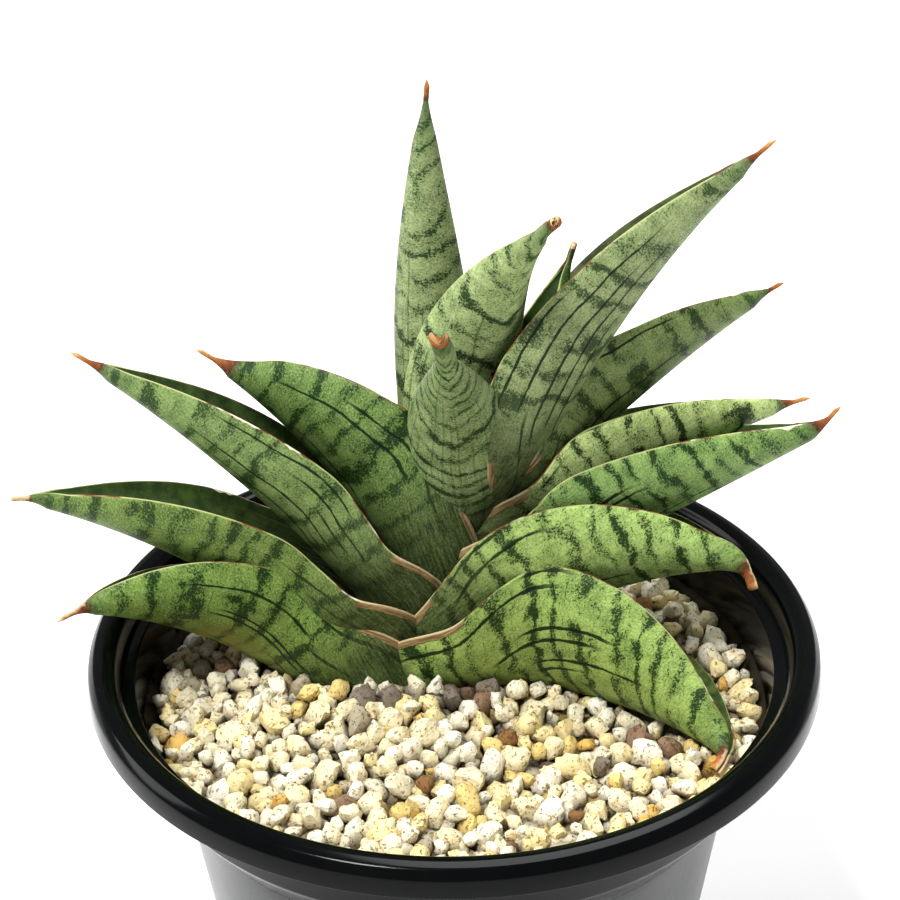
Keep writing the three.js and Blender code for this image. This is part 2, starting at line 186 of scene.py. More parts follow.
class Graph:
    """Adds nodes to one tree. Every input is a number, a colour, a vector or another node's socket."""

    def __init__(self, tree):
        self.tree = tree

    def node(self, kind, inputs=None, **settings):
        made = self.tree.nodes.new(kind)
        for key, value in settings.items():
            setattr(made, key, value)
        for key, value in (inputs or {}).items():
            self.feed(made.inputs[key], value)
        return made

    def feed(self, socket, value):
        if isinstance(value, bpy.types.NodeSocket):
            self.tree.links.new(value, socket)
        else:
            socket.default_value = value

    def math(self, operation, *values):
        return self.node("ShaderNodeMath", dict(enumerate(values)), operation=operation).outputs[0]

    def add(self, a, b):
        return self.math("ADD", a, b)

    def subtract(self, a, b):
        return self.math("SUBTRACT", a, b)

    def times(self, a, b):
        return self.math("MULTIPLY", a, b)

    def swing(self, value, size):
        """A 0 to 1 value turned into one that swings about 0, up to size each way."""
        return self.math("MULTIPLY_ADD", value, 2 * size, -size)

    def rise(self, value, start, end):
        inputs = {"Value": value, "From Min": start, "From Max": end}
        return self.node("ShaderNodeMapRange", inputs, interpolation_type="SMOOTHSTEP").outputs[0]

    def fall(self, value, start, end):
        return self.subtract(1.0, self.rise(value, start, end))

    def colour(self, factor, a, b, blend="MIX"):
        """Colour a mixed with colour b. The node's sockets 0, 6 and 7 are the factor and the two colours."""
        made = self.node("ShaderNodeMix", data_type="RGBA", blend_type=blend)
        for index, value in ((0, factor), (6, a), (7, b)):
            self.feed(made.inputs[index], value)
        return made.outputs[2]

    def vector(self, x, y, z):
        return self.node("ShaderNodeCombineXYZ", {"X": x, "Y": y, "Z": z}).outputs[0]

    def parts(self, vector):
        return self.node("ShaderNodeSeparateXYZ", {"Vector": vector}).outputs

    def noise(self, vector, scale, detail=2.0, roughness=0.5):
        inputs = {"Vector": vector, "Scale": scale, "Detail": detail, "Roughness": roughness}
        return self.node("ShaderNodeTexNoise", inputs).outputs[0]

    def chance(self, value):
        return self.node("ShaderNodeTexWhiteNoise", {"W": value}, noise_dimensions="1D").outputs[0]

    def ramp(self, factor, stops, interpolation="LINEAR"):
        made = self.node("ShaderNodeValToRGB", {"Fac": factor})
        made.color_ramp.interpolation = interpolation
        while len(made.color_ramp.elements) < len(stops):
            made.color_ramp.elements.new(1.0)
        for element, (position, value) in zip(made.color_ramp.elements, stops):
            element.position = position
            element.color = value
        return made.outputs[0]

    def attribute(self, name):
        return self.node("ShaderNodeAttribute", attribute_name=name).outputs

    def place(self):
        return self.node("ShaderNodeTexCoord").outputs["Object"]

    def group(self, tree, inputs):
        return self.node("ShaderNodeGroup", inputs, node_tree=tree).outputs


def srgb(red, green, blue):
    """A colour given as 0 to 255 screen values."""
    linear = [((c / 255 + 0.055) / 1.055) ** 2.4 if c > 10 else c / 255 / 12.92 for c in (red, green, blue)]
    return (*linear, 1.0)


SOCKETS = {"float": "NodeSocketFloat", "vector": "NodeSocketVector", "colour": "NodeSocketColor"}


def new_group(name, inputs, outputs):
    tree = bpy.data.node_groups.new(name, "ShaderNodeTree")
    for kinds, direction in ((inputs, "INPUT"), (outputs, "OUTPUT")):
        for socket, kind in kinds.items():
            tree.interface.new_socket(name=socket, in_out=direction, socket_type=SOCKETS[kind])
    graph = Graph(tree)
    return graph, graph.node("NodeGroupInput").outputs, graph.node("NodeGroupOutput").inputs


def new_material(name):
    """A material with its Principled shader, and the graph to add nodes to it."""
    material = bpy.data.materials.new(name)
    material.use_nodes = True
    shader = material.node_tree.nodes["Principled BSDF"]
    return material, Graph(material.node_tree), shader


def bump(graph, shader, height, distance, strength=1.0):
    made = graph.node("ShaderNodeBump", {"Height": height, "Strength": strength, "Distance": distance})
    graph.feed(shader.inputs["Normal"], made.outputs[0])


def leaf_bands_group():
    """Broken cross-bands of dark dots, and long thin lines, in blade millimetres."""
    g, given, out = new_group(
        "leaf_bands",
        {"Blade": "vector", "Across": "float", "Share": "float", "Spacing": "float", "Bend": "float",
         "Seed": "float"},
        {"Bands": "float", "Dots": "float", "Lines": "float"})
    # cross-bands, which wander and break, with thin ones between them
    x, y, _ = g.parts(given["Blade"])
    place = g.vector(x, y, g.times(given["Seed"], 50.0))
    wander = g.swing(g.noise(place, 0.16, 4.0, 0.6), 0.75)
    uneven = g.swing(g.noise(g.vector(g.times(given["Seed"], 31.0), y, 0.0), 0.07, 0.0), 1.3)
    keel = g.times(given["Bend"], g.math("ABSOLUTE", given["Across"]))
    course = g.add(g.add(g.math("DIVIDE", y, given["Spacing"]), keel), g.add(wander, uneven))
    near = g.subtract(1.0, g.math("ABSOLUTE", g.swing(g.math("FRACT", course), 1.0)))
    number = g.add(g.math("FLOOR", course), given["Seed"])
    broken = g.noise(g.vector(g.times(given["Across"], 2.4), g.times(number, 3.7), 0.0), 1.0, 1.0)
    bold = g.math("MULTIPLY_ADD", g.chance(number), 0.6, 0.55)
    swell = g.swing(g.noise(place, 0.5, 2.0), 0.5)
    bands = g.times(g.times(g.rise(g.add(near, swell), 0.42, 1.0), bold), g.rise(broken, 0.22, 0.42))
    thread = g.math("FRACT", g.add(g.times(course, 2.3), g.swing(g.noise(place, 0.3, 2.0), 0.5)))
    thin = g.rise(g.math("ABSOLUTE", g.swing(thread, 1.0)), 0.86, 1.0)
    thin = g.times(thin, g.rise(g.noise(place, 0.25, 1.0), 0.44, 0.56))
    marks = g.math("MAXIMUM", bands, g.times(thin, 0.62))
    # dark dots that gather on the bands
    fine = g.noise(place, 2.9, 3.0, 0.75)
    patch = g.swing(g.noise(place, 0.3, 2.0), 0.12)
    dots = g.rise(g.add(g.add(fine, g.times(marks, 0.21)), patch), 0.6, 0.64)
    # long thin lines, one to a lane, each with its own start and end
    drift = g.swing(g.noise(g.vector(g.times(y, 0.06), given["Seed"], 0.0), 1.0, 1.0), 0.9)
    lane = g.add(g.times(given["Across"], 8.5), drift)
    cell = g.add(g.math("FLOOR", lane), g.times(given["Seed"], 17.0))
    first, second, third = (g.chance(g.add(cell, shift)) for shift in (0.13, 0.47, 0.71))
    middle = g.math("MULTIPLY_ADD", first, 0.6, 0.2)
    aside = g.math("ABSOLUTE", g.subtract(g.math("FRACT", lane), middle))
    begin = g.times(second, 0.34)
    end = g.add(begin, g.math("MULTIPLY_ADD", third, 0.42, 0.1))
    along = g.times(g.rise(g.subtract(given["Share"], begin), -0.02, 0.02),
                    g.fall(g.subtract(given["Share"], end), -0.08, 0.0))
    trail = g.vector(g.times(lane, 2.0), g.times(y, 0.35), given["Seed"])
    worn = g.swing(g.noise(trail, 1.0, 3.0, 0.7), 0.16)
    kept = g.math("GREATER_THAN", g.chance(g.add(cell, 0.29)), 0.22)
    lines = g.times(g.times(g.fall(g.add(aside, worn), 0.07, 0.12), along), kept)
    for name, value in (("Bands", marks), ("Dots", dots), ("Lines", lines)):
        g.feed(out[name], value)
    return g.tree


def leaf_skin_group(bands_group):
    """Colour, roughness and height of a leaf, from its bands and its distances to margin and tip."""
    g, given, out = new_group(
        "leaf_skin",
        {"Blade": "vector", "Edge": "vector", "Green": "colour", "Length": "float", "Spacing": "float",
         "Bend": "float", "Band": "float", "Line": "float", "Dull": "float", "Foot": "float", "Dry": "float",
         "Yellow": "float", "Pale": "float", "Seed": "float"},
        {"Colour": "colour", "Roughness": "float", "Height": "float"})
    x, y, tip = g.parts(given["Blade"])
    across, margin, inner = g.parts(given["Edge"])
    share = g.math("DIVIDE", y, given["Length"])
    place = g.vector(x, y, g.times(given["Seed"], 50.0))
    pattern = g.group(bands_group, {
        "Blade": given["Blade"], "Across": across, "Share": share, "Spacing": given["Spacing"],
        "Bend": given["Bend"], "Seed": given["Seed"]})
    # clouded and speckled ground
    cloud = g.rise(g.noise(place, 0.3, 4.0, 0.65), 0.36, 0.64)
    speckle = g.noise(place, 3.2, 3.0, 0.8)
    fibre = g.noise(g.vector(g.times(x, 2.6), g.times(y, 0.22), given["Seed"]), 1.0, 3.0, 0.6)
    ground = g.colour(g.times(cloud, 0.75), given["Green"], srgb(176, 190, 168), "MULTIPLY")
    pale = g.colour(0.45, given["Green"], srgb(236, 238, 200))
    ground = g.colour(g.times(g.rise(speckle, 0.52, 0.62), 0.5), ground, pale)
    ground = g.colour(g.times(g.fall(speckle, 0.38, 0.47), 0.5), ground, srgb(40, 72, 20))
    ground = g.colour(g.times(g.fall(fibre, 0.36, 0.5), 0.22), ground, srgb(70, 90, 56))
    # marks on the outer side, and the inner side of the channel painted very dark: partly its own darker
    # green, partly painted shade inside the channel
    deep = g.colour(given["Dull"], srgb(4, 34, 2), srgb(22, 48, 12))
    skin = g.colour(g.times(g.times(pattern["Bands"], given["Band"]), 0.45), ground, srgb(52, 96, 36))
    skin = g.colour(g.times(g.times(pattern["Dots"], given["Band"]), 0.9), skin, deep)
    skin = g.colour(g.times(g.times(pattern["Lines"], given["Line"]), 0.95), skin, srgb(2, 26, 2))
    inner_side_and_shade = g.colour(g.math("MULTIPLY_ADD", cloud, 0.15, 0.78), given["Green"], srgb(14, 38, 8))
    inner_side_and_shade = g.colour(g.times(pattern["Dots"], 0.4), inner_side_and_shade, srgb(16, 38, 20))
    skin = g.colour(inner, skin, inner_side_and_shade)
    # dark streaky foot, partly its own olive-brown and partly painted shade from the leaves above, yellowing
    # above it, and a darker end
    streak = g.noise(g.vector(g.times(x, 2.0), g.times(y, 0.35), given["Seed"]), 1.0, 4.0, 0.75)
    foot = g.fall(g.math("DIVIDE", share, given["Foot"]), 0.3, 1.0)
    foot_old_and_shaded = g.colour(g.rise(streak, 0.4, 0.62), srgb(40, 52, 24), srgb(92, 106, 62))
    foot_old_and_shaded = g.colour(g.times(g.fall(speckle, 0.42, 0.5), 0.65), foot_old_and_shaded, srgb(20, 26, 10))
    skin = g.colour(g.times(foot, 0.85), skin, foot_old_and_shaded)
    sick = g.times(g.rise(share, 0.12, 0.3), g.fall(share, 0.45, 0.65))
    sick = g.times(g.times(sick, g.fall(g.math("ABSOLUTE", across), 0.05, 0.5)), given["Yellow"])
    skin = g.colour(g.times(g.times(sick, g.rise(cloud, 0.0, 0.6)), 0.7), skin, srgb(158, 152, 62))
    end = g.rise(share, 0.8, 0.97)
    skin = g.colour(g.times(end, 0.62), skin, srgb(50, 78, 36))
    # thin margin, pale, brown or dry
    along_rim = g.noise(g.vector(y, g.times(given["Seed"], 9.0), across), 0.12, 3.0, 0.6)
    rim_colour = g.ramp(along_rim, [
        (0.0, srgb(160, 174, 104)), (0.5, srgb(180, 182, 120)), (0.55, srgb(132, 78, 46)),
        (0.61, srgb(106, 60, 40)), (0.65, srgb(228, 214, 184)), (1.0, srgb(246, 238, 220))])
    torn = g.times(g.rise(along_rim, 0.65, 0.74), 0.5)
    skin = g.colour(g.fall(g.subtract(margin, torn), 0.07, 0.17), skin, rim_colour)
    # papery strip along the sheath
    fray = g.swing(g.noise(place, 0.6, 3.0, 0.6), 0.7)
    sheath = g.fall(g.add(share, g.times(fray, 0.03)), 0.17, 0.19)
    paper = g.times(g.fall(g.add(margin, fray), 1.1, 1.3), sheath)
    shred = g.noise(g.vector(g.times(margin, 3.0), g.times(y, 0.3), given["Seed"]), 1.0, 3.0, 0.7)
    paper_colour = g.colour(g.rise(shred, 0.35, 0.65), srgb(104, 84, 50), srgb(168, 142, 98))
    paper_colour = g.colour(g.fall(margin, 0.05, 0.4), paper_colour, srgb(208, 186, 142))
    skin = g.colour(paper, skin, paper_colour)
    # dry tip with a burnt border
    ragged = g.add(tip, g.swing(g.noise(place, 0.9, 3.0), 1.6))
    dried = g.fall(g.subtract(ragged, given["Dry"]), -0.3, 0.2)
    burnt = g.fall(g.subtract(ragged, given["Dry"]), 0.0, 1.6)
    skin = g.colour(g.times(burnt, 0.6), skin, srgb(66, 52, 26))
    streaks = g.vector(g.times(x, 1.6), g.times(y, 0.9), given["Seed"])
    shade = g.swing(g.noise(streaks, 1.0, 3.0, 0.7), 0.4)
    tip_colour = g.ramp(g.add(g.math("DIVIDE", ragged, given["Dry"]), shade), [
        (0.0, srgb(232, 208, 152)), (0.22, srgb(206, 150, 86)), (0.48, srgb(170, 104, 52)),
        (0.8, srgb(130, 70, 36)), (1.0, srgb(80, 44, 26))])
    pale = g.times(g.fall(g.add(margin, shade), 0.25, 0.6), given["Pale"])
    tip_colour = g.colour(pale, tip_colour, srgb(232, 212, 164))
    skin = g.colour(dried, skin, tip_colour)
    # roughness and relief
    dead = g.math("MAXIMUM", dried, paper)
    rough = g.math("MULTIPLY_ADD", speckle, 0.2, 0.4)
    rough = g.math("MULTIPLY_ADD", dead, 0.25, rough)
    height = g.add(g.times(speckle, 0.3), g.times(pattern["Lines"], -0.6))
    height = g.add(height, g.times(fibre, 0.25))
    height = g.add(height, g.times(g.times(streak, foot), 1.2))
    height = g.add(height, g.times(g.times(g.noise(place, 2.0, 3.0), dead), 1.5))
    for name, value in (("Colour", skin), ("Roughness", rough), ("Height", height)):
        g.feed(out[name], value)
    return g.tree


def leaf_material(skin_group, leaf, seed):
    material, g, shader = new_material(leaf.name + "_skin")
    skin = g.group(skin_group, {
        "Blade": g.attribute("blade")["Vector"], "Edge": g.attribute("edge")["Vector"],
        "Green": srgb(*leaf.green), "Length": leaf.length, "Spacing": leaf.bands, "Bend": leaf.bend,
        "Band": leaf.band, "Line": leaf.line, "Dull": leaf.dull, "Foot": leaf.foot, "Dry": leaf.dry,
        "Yellow": leaf.yellow, "Pale": leaf.pale, "Seed": seed})
    g.feed(shader.inputs["Base Color"], skin["Colour"])
    g.feed(shader.inputs["Roughness"], skin["Roughness"])
    shader.inputs["Specular IOR Level"].default_value = 0.2
    bump(g, shader, skin["Height"], 0.12 * MM)
    return material


def dust_group():
    """Fine dust that lies in clouds and specks, over object coordinates in metres."""
    g, given, out = new_group("dust", {"Place": "vector", "Amount": "float"}, {"Dust": "float"})
    cloud = g.rise(g.noise(given["Place"], 60.0, 4.0, 0.6), 0.42, 0.7)
    speck = g.rise(g.noise(given["Place"], 1500.0, 2.0, 0.7), 0.62, 0.74)
    dust = g.times(g.math("MULTIPLY_ADD", speck, 0.8, 0.35), cloud)
    g.feed(out["Dust"], g.times(dust, given["Amount"]))
    return g.tree


def pot_material(dust):
    """Black moulded plastic, glossy, with fine dust and a dried water line above the pumice; the body below
    the rim is greyer and rougher, partly a dusty matte finish and partly a painted reflection of the pale
    floor.
    """
    material, g, shader = new_material("black_plastic")
    place = g.place()
    x, y, z = g.parts(place)
    radius = g.math("SQRT", g.add(g.times(x, x), g.times(y, y)))
    dusty = g.group(dust, {"Place": place, "Amount": 0.5})["Dust"]
    inside = g.fall(radius, 52.3 * MM, 52.6 * MM)
    shoulder = g.math("LESS_THAN", g.subtract(radius, g.times(z, STAIN.slope)), STAIN.offset * MM)
    reach = g.times(g.rise(z, STAIN.foot * MM, (STAIN.foot + 2) * MM), g.fall(z, 86.6 * MM, STAIN.top * MM))
    blotch = g.noise(place, 260.0, 4.0, 0.65)
    stain = g.times(g.times(g.times(inside, shoulder), reach), g.rise(blotch, 0.3, 0.6))
    splash = g.times(g.fall(z, STAIN.top * MM, STAIN.splash * MM), g.rise(blotch, 0.56, 0.7))
    splash = g.times(inside, splash)
    base = g.colour(g.times(dusty, 0.08), srgb(3, 4, 5), srgb(70, 68, 66))
    base = g.colour(g.times(splash, 0.15), base, srgb(84, 76, 58))
    base = g.colour(g.times(stain, 0.4), base, srgb(78, 70, 52))
    # partly painted reflection: the body below the rim is made grey for the pale floor it mirrors, and
    # rougher with dust
    body = g.fall(z, 74 * MM, 78 * MM)
    base = g.colour(body, base, srgb(40, 42, 44))
    g.feed(shader.inputs["Base Color"], base)
    smear = g.noise(place, 90.0, 3.0, 0.6)
    rough = g.math("MULTIPLY_ADD", smear, 0.1, 0.08)
    rough = g.add(rough, g.add(g.times(stain, 0.5), g.times(g.add(dusty, body), 0.15)))
    g.feed(shader.inputs["Specular IOR Level"], g.math("MULTIPLY_ADD", body, 0.13, 0.12))
    g.feed(shader.inputs["Roughness"], rough)
    bump(g, shader, g.noise(place, 900.0, 2.0), 0.01 * MM, 0.4)
    return material


def pumice_material(dust, name, painted_light_level):
    """Porous grains: mostly cream, some grey, purple-brown, ochre and dark brown, with painted shade on grain
    parts deep between others, and darkened all over as painted shade when painted_light_level is below 1.
    """
    material, g, shader = new_material(name)
    place = g.place()
    tint = g.attribute("grain_tint")["Fac"]
    deep = g.attribute("grain_painted_shade")["Fac"]
    kinds = [
        (0.0, srgb(254, 242, 200)), (0.24, srgb(255, 250, 228)), (0.46, srgb(252, 234, 174)),
        (0.6, srgb(255, 247, 218)), (0.78, srgb(240, 214, 138)), (0.83, srgb(250, 240, 206)),
        (0.92, srgb(180, 170, 144)), (0.945, srgb(144, 116, 94)), (0.962, srgb(226, 184, 100)),
        (0.975, srgb(128, 118, 106)), (0.992, srgb(140, 102, 62))]
    stone = g.ramp(tint, kinds, "CONSTANT")
    cloud = g.noise(place, 420.0, 3.0, 0.6)
    stone = g.colour(g.times(g.rise(cloud, 0.48, 0.68), 0.36), stone, srgb(236, 200, 120), "MULTIPLY")
    fleck = g.noise(place, 1500.0, 3.0, 0.75)
    pores = g.fall(g.subtract(fleck, g.times(g.rise(cloud, 0.4, 0.6), 0.05)), 0.32, 0.39)
    stone = g.colour(g.times(pores, 0.7), stone, srgb(104, 80, 46))
    fine = g.noise(place, 2600.0, 3.0, 0.7)
    stone = g.colour(g.times(g.rise(fine, 0.54, 0.66), 0.26), stone, srgb(190, 158, 98))
    # painted shade: grain parts that lie deep between the others are darkened
    stone = g.colour(g.times(deep, 0.8), stone, srgb(70, 52, 30))
    # painted shade: with painted_light_level below 1, the whole copy is darkened
    stone = g.colour(1.0 - painted_light_level, stone, srgb(40, 34, 26))
    g.feed(shader.inputs["Base Color"], stone)
    dusty = g.group(dust, {"Place": place, "Amount": 0.2})["Dust"]
    g.feed(shader.inputs["Roughness"], g.math("MULTIPLY_ADD", dusty, 0.2, 0.78))
    shader.inputs["Specular IOR Level"].default_value = 0.25
    height = g.add(g.times(fine, 0.3), g.noise(place, 900.0, 4.0, 0.7))
    bump(g, shader, g.subtract(height, g.times(pores, 0.9)), 0.5 * MM)
    return material


def stem_material(dust):
    material, g, shader = new_material("stem_bark")
    place = g.place()
    ring = g.noise(g.vector(0.0, 0.0, g.parts(place)[2]), 700.0, 3.0, 0.6)
    bark = g.colour(ring, srgb(92, 78, 48), srgb(152, 136, 90))
    dusty = g.group(dust, {"Place": place, "Amount": 0.8})["Dust"]
    g.feed(shader.inputs["Base Color"], g.colour(dusty, bark, srgb(190, 176, 140)))
    g.feed(shader.inputs["Roughness"], g.math("MULTIPLY_ADD", ring, 0.2, 0.65))
    bump(g, shader, ring, 0.3 * MM)
    return material


def floor_material():
    material, g, shader = new_material("studio_floor")
    cloud = g.noise(g.place(), 3.0, 2.0)
    g.feed(shader.inputs["Base Color"], g.colour(cloud, srgb(250, 250, 250), srgb(252, 252, 252)))
    shader.inputs["Roughness"].default_value = 0.9
    shader.inputs["Specular IOR Level"].default_value = 0.0
    return material


# Pieces


def make_piece(bm, name, material, replaces=(), sharp=None):
    """Closes the bmesh into an object that rides on the frame's one body."""
    bmesh.ops.recalc_face_normals(bm, faces=bm.faces)
    mesh = bpy.data.meshes.new(name)
    bm.to_mesh(mesh)
    bm.free()
    mesh.shade_smooth()
    if sharp is not None:
        mesh.set_sharp_from_angle(angle=math.radians(sharp))
    mesh.materials.append(material)
    piece = bpy.data.objects.new(name, mesh)
    bpy.context.scene.collection.objects.link(piece)
    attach(piece, "root")
    if replaces:
        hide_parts(*replaces)
    return piece


def lathe(profile, steps=POT_STEPS):
    """A closed round body from a line of (radius, height) points that starts and ends on the axis."""
    bm = bmesh.new()
    points = [bm.verts.new((radius * MM, 0.0, height * MM)) for radius, height in profile]
    edges = [bm.edges.new(pair) for pair in zip(points, points[1:])]
    bmesh.ops.spin(bm, geom=points + edges, cent=(0, 0, 0), axis=(0, 0, 1), angle=2 * math.pi, steps=steps,
                   use_merge=True)
    bmesh.ops.remove_doubles(bm, verts=bm.verts, dist=1e-6)
    return bm


def round_rings(bm, offset, least_angle=25):
    """Rounds each circular edge of a lathe body whose two faces meet at more than least_angle."""
    rings = []
    for edge in bm.edges:
        a, b = (vert.co for vert in edge.verts)
        level = abs(a.z - b.z) < 1e-6 and abs(a.xy.length - b.xy.length) < 1e-6
        if level and len(edge.link_faces) == 2 and edge.calc_face_angle() > math.radians(least_angle):
            rings.append(edge)
    bmesh.ops.bevel(bm, geom=rings, offset=offset * MM, offset_type="OFFSET", segments=3, profile=0.5,
                    affect="EDGES", material=-1, clamp_overlap=True)


def cut(piece, bm_cutter):
    """Cuts the closed cutter out of the piece, and keeps the result in the piece's own mesh."""
    bmesh.ops.recalc_face_normals(bm_cutter, faces=bm_cutter.faces)
    mesh = bpy.data.meshes.new("cutter")
    bm_cutter.to_mesh(mesh)
    bm_cutter.free()
    cutter = bpy.data.objects.new("cutter", mesh)
    bpy.context.scene.collection.objects.link(cutter)
    boolean = piece.modifiers.new("cut", "BOOLEAN")
    boolean.operation = "DIFFERENCE"
    boolean.solver = "EXACT"
    boolean.object = cutter
    shaped = bpy.data.meshes.new_from_object(piece.evaluated_get(bpy.context.evaluated_depsgraph_get()))
    piece.modifiers.clear()
    piece.data = shaped
    bpy.data.objects.remove(cutter)
    bpy.data.meshes.remove(mesh)


def pot_piece(material):
    throat = RIM.radius - 2.8
    outside = [
        (0, 0), (DRAIN_CHANNEL.inner, 0), (DRAIN_CHANNEL.inner + 1, DRAIN_CHANNEL.height),
        (DRAIN_CHANNEL.outer - 1, DRAIN_CHANNEL.height), (DRAIN_CHANNEL.outer, 0),
        (FOOT_RADIUS, 0), (FOOT_RADIUS + 1, 1), (BODY_TOP.radius, BODY_TOP.height),
        (BODY_TOP.radius + 1, BODY_TOP.height + 1.1), (COLLAR.radius - 1, COLLAR.foot),
        (COLLAR.radius, COLLAR.top)]
    rim_inside = [
        (COLLAR.radius + 1.6, COLLAR.top + 0.2), (throat - 1.6, RIM.edge + 0.2),
        (throat - 1, RIM.crest - 1.9), (throat, RIM.crest - WALL), (throat + 1, RIM.crest - 1.9),
        (RIM.radius - WALL, RIM.edge)]
    rim_outside = [
        (RIM.radius, RIM.edge), (RIM.radius - 0.4, RIM.crest - 1.7), (RIM.radius - 1.4, RIM.crest - 0.4),
        (throat, RIM.crest), (throat - 1.4, RIM.crest - 0.4), (RIM.inner + 0.6, RIM.crest - 1.7),
        (RIM.inner, LEDGE.height)]
    inside = [
        (LEDGE.radius, LEDGE.height), (COLLAR.radius - 1.8, COLLAR.foot + 1.4),
        (BODY_TOP.radius - 0.4, BODY_TOP.height + 2.3), (BODY_TOP.radius - WALL, BODY_TOP.height + 1.1),
        (FOOT_RADIUS - 0.8, FLOOR), (0, FLOOR)]
    bm = lathe([*outside, *rim_inside, *rim_outside, *inside])
    round_rings(bm, 0.3)
    piece = make_piece(bm, "nursery_pot", material, ["pot"], sharp=40)
    holes = bmesh.new()
    for index in range(DRAIN.count):
        turn = Matrix.Rotation(2 * math.pi * (index + 0.5) / DRAIN.count, 4, "Z")
        bmesh.ops.create_cone(holes, cap_ends=True, segments=32, radius1=DRAIN.radius * MM,
                              radius2=DRAIN.radius * MM, depth=4 * FLOOR * MM,
                              matrix=turn @ Matrix.Translation((DRAIN.circle * MM, 0, 0)))
    for index in range(FOOT_NOTCH.count):
        turn = Matrix.Rotation(2 * math.pi * (index + 0.5) / FOOT_NOTCH.count, 4, "Z")
        size = Matrix.Diagonal((12 * MM, FOOT_NOTCH.width * MM, 2 * FOOT_NOTCH.height * MM, 1))
        bmesh.ops.create_cube(holes, size=1.0,
                              matrix=turn @ Matrix.Translation(((FOOT_RADIUS - 2) * MM, 0, 0)) @ size)
    cut(piece, holes)
    return piece


# Leaves


def stem_point(height):
    return STEM_FOOT.lerp(STEM_HEAD, (height - STEM_FOOT.z) / (STEM_HEAD.z - STEM_FOOT.z))


def leaf_frame(leaf, u):
    """Directions at a share u of the leaf: along it, to the inside of its channel, and to its side."""
    upward, aside = leaf.hook
    hooked = smooth((1 - u) * leaf.length, 1.5 * leaf.dry, 0)
    heading = math.radians(mix(leaf.heading, u) + aside * hooked)
    neck = leaf.neck * max(0.0, 1 - u / NECK_REACH) ** 2
    rise = math.radians(mix(leaf.rise, u) + neck + upward * hooked)
    roll = math.radians(mix(leaf.roll, u) * (1.0 if leaf.turn else smooth(u, 0.05, 0.4)))
    flat = Vector((math.cos(heading), math.sin(heading), 0.0))
    along = flat * math.cos(rise) + Vector((0, 0, math.sin(rise)))
    level = flat * -math.sin(rise) + Vector((0, 0, math.cos(rise)))
    across = level.cross(along)
    inward = level * math.cos(roll) + across * math.sin(roll)
    side = across * math.cos(roll) - level * math.sin(roll)
    return along, inward, side


def leaf_width(leaf, u):
    """Half the width of the unrolled blade."""
    base = leaf.sheath * math.radians(leaf.wrap)
    if u < leaf.widest:
        return base + (leaf.half - base) * smooth(u, 0, leaf.widest)
    return leaf.half * max(0.0, math.cos(math.pi / 2 * (u - leaf.widest) / (1 - leaf.widest))) ** leaf.taper


def leaf_stations(leaf):
    """The blade's centre line: a point, its frame, half width, curl and thickness for each station."""
    direction = math.radians(leaf.heading[0] + leaf.turn)
    point = stem_point(leaf.height) + Vector((math.cos(direction), math.sin(direction), 0)) * leaf.sheath
    stations = []
    for k in range(LEAF_STATIONS + 1):
        u = k / LEAF_STATIONS
        if k > 0:
            point = point + leaf_frame(leaf, (k - 0.5) / LEAF_STATIONS)[0] * (leaf.length / LEAF_STATIONS)
        slender = leaf.slim + (1 - leaf.slim) * smooth((1 - u) * leaf.length, 0.4 * leaf.dry, 1.7 * leaf.dry)
        half = max(leaf_width(leaf, u) * slender, SPINE.half, leaf.blunt)
        blade = CHANNEL.blade + (CHANNEL.tip - CHANNEL.blade) * smooth(u, 0.5, 1)
        curl = math.radians(leaf.wrap + (blade - leaf.wrap) * smooth(u, 0, leaf.open))
        curl *= 1 + leaf.closed * smooth((1 - u) * leaf.length, *TIP_CLOSES)
        body = THICKNESS.sheath + (1 - THICKNESS.sheath) * smooth(u, 0, 0.3)
        fade = THICKNESS.tip + (1 - THICKNESS.tip) * min(1.0, leaf_width(leaf, u) / leaf.half)
        thick = min(THICKNESS.blade * body * fade, 1.5 * half / curl)
        stations.append((point, leaf_frame(leaf, u), half, curl, thick))
    return stations


def leaf_point(station, angle):
    """A point of the leaf's skin. angle runs round the section: 0 to pi outside, pi to 2 pi inside."""
    point, (_, inward, side), half, curl, thick = station
    v = -math.cos(angle)
    outside = math.sin(angle) >= 0
    margin = (1 - abs(v)) * half
    edge = min(THICKNESS.margin, thick)
    step = (edge + (thick - edge) * (1 - abs(v) ** 1.6)) / 2
    depth = min(1.0, margin / (edge / 2))
    step *= math.sqrt(max(0.0, 1 - (1 - depth) ** 2))
    radius = half / curl
    bend = curl * v
    facing = (-math.sin(bend), math.cos(bend))
    shift = -step if outside else min(step, 0.95 * radius)
    sideways = radius * math.sin(bend) + facing[0] * shift
    inwards = radius * (1 - math.cos(bend)) + facing[1] * shift
    return point + side * sideways + inward * inwards, v, margin, 0.0 if outside else 1.0


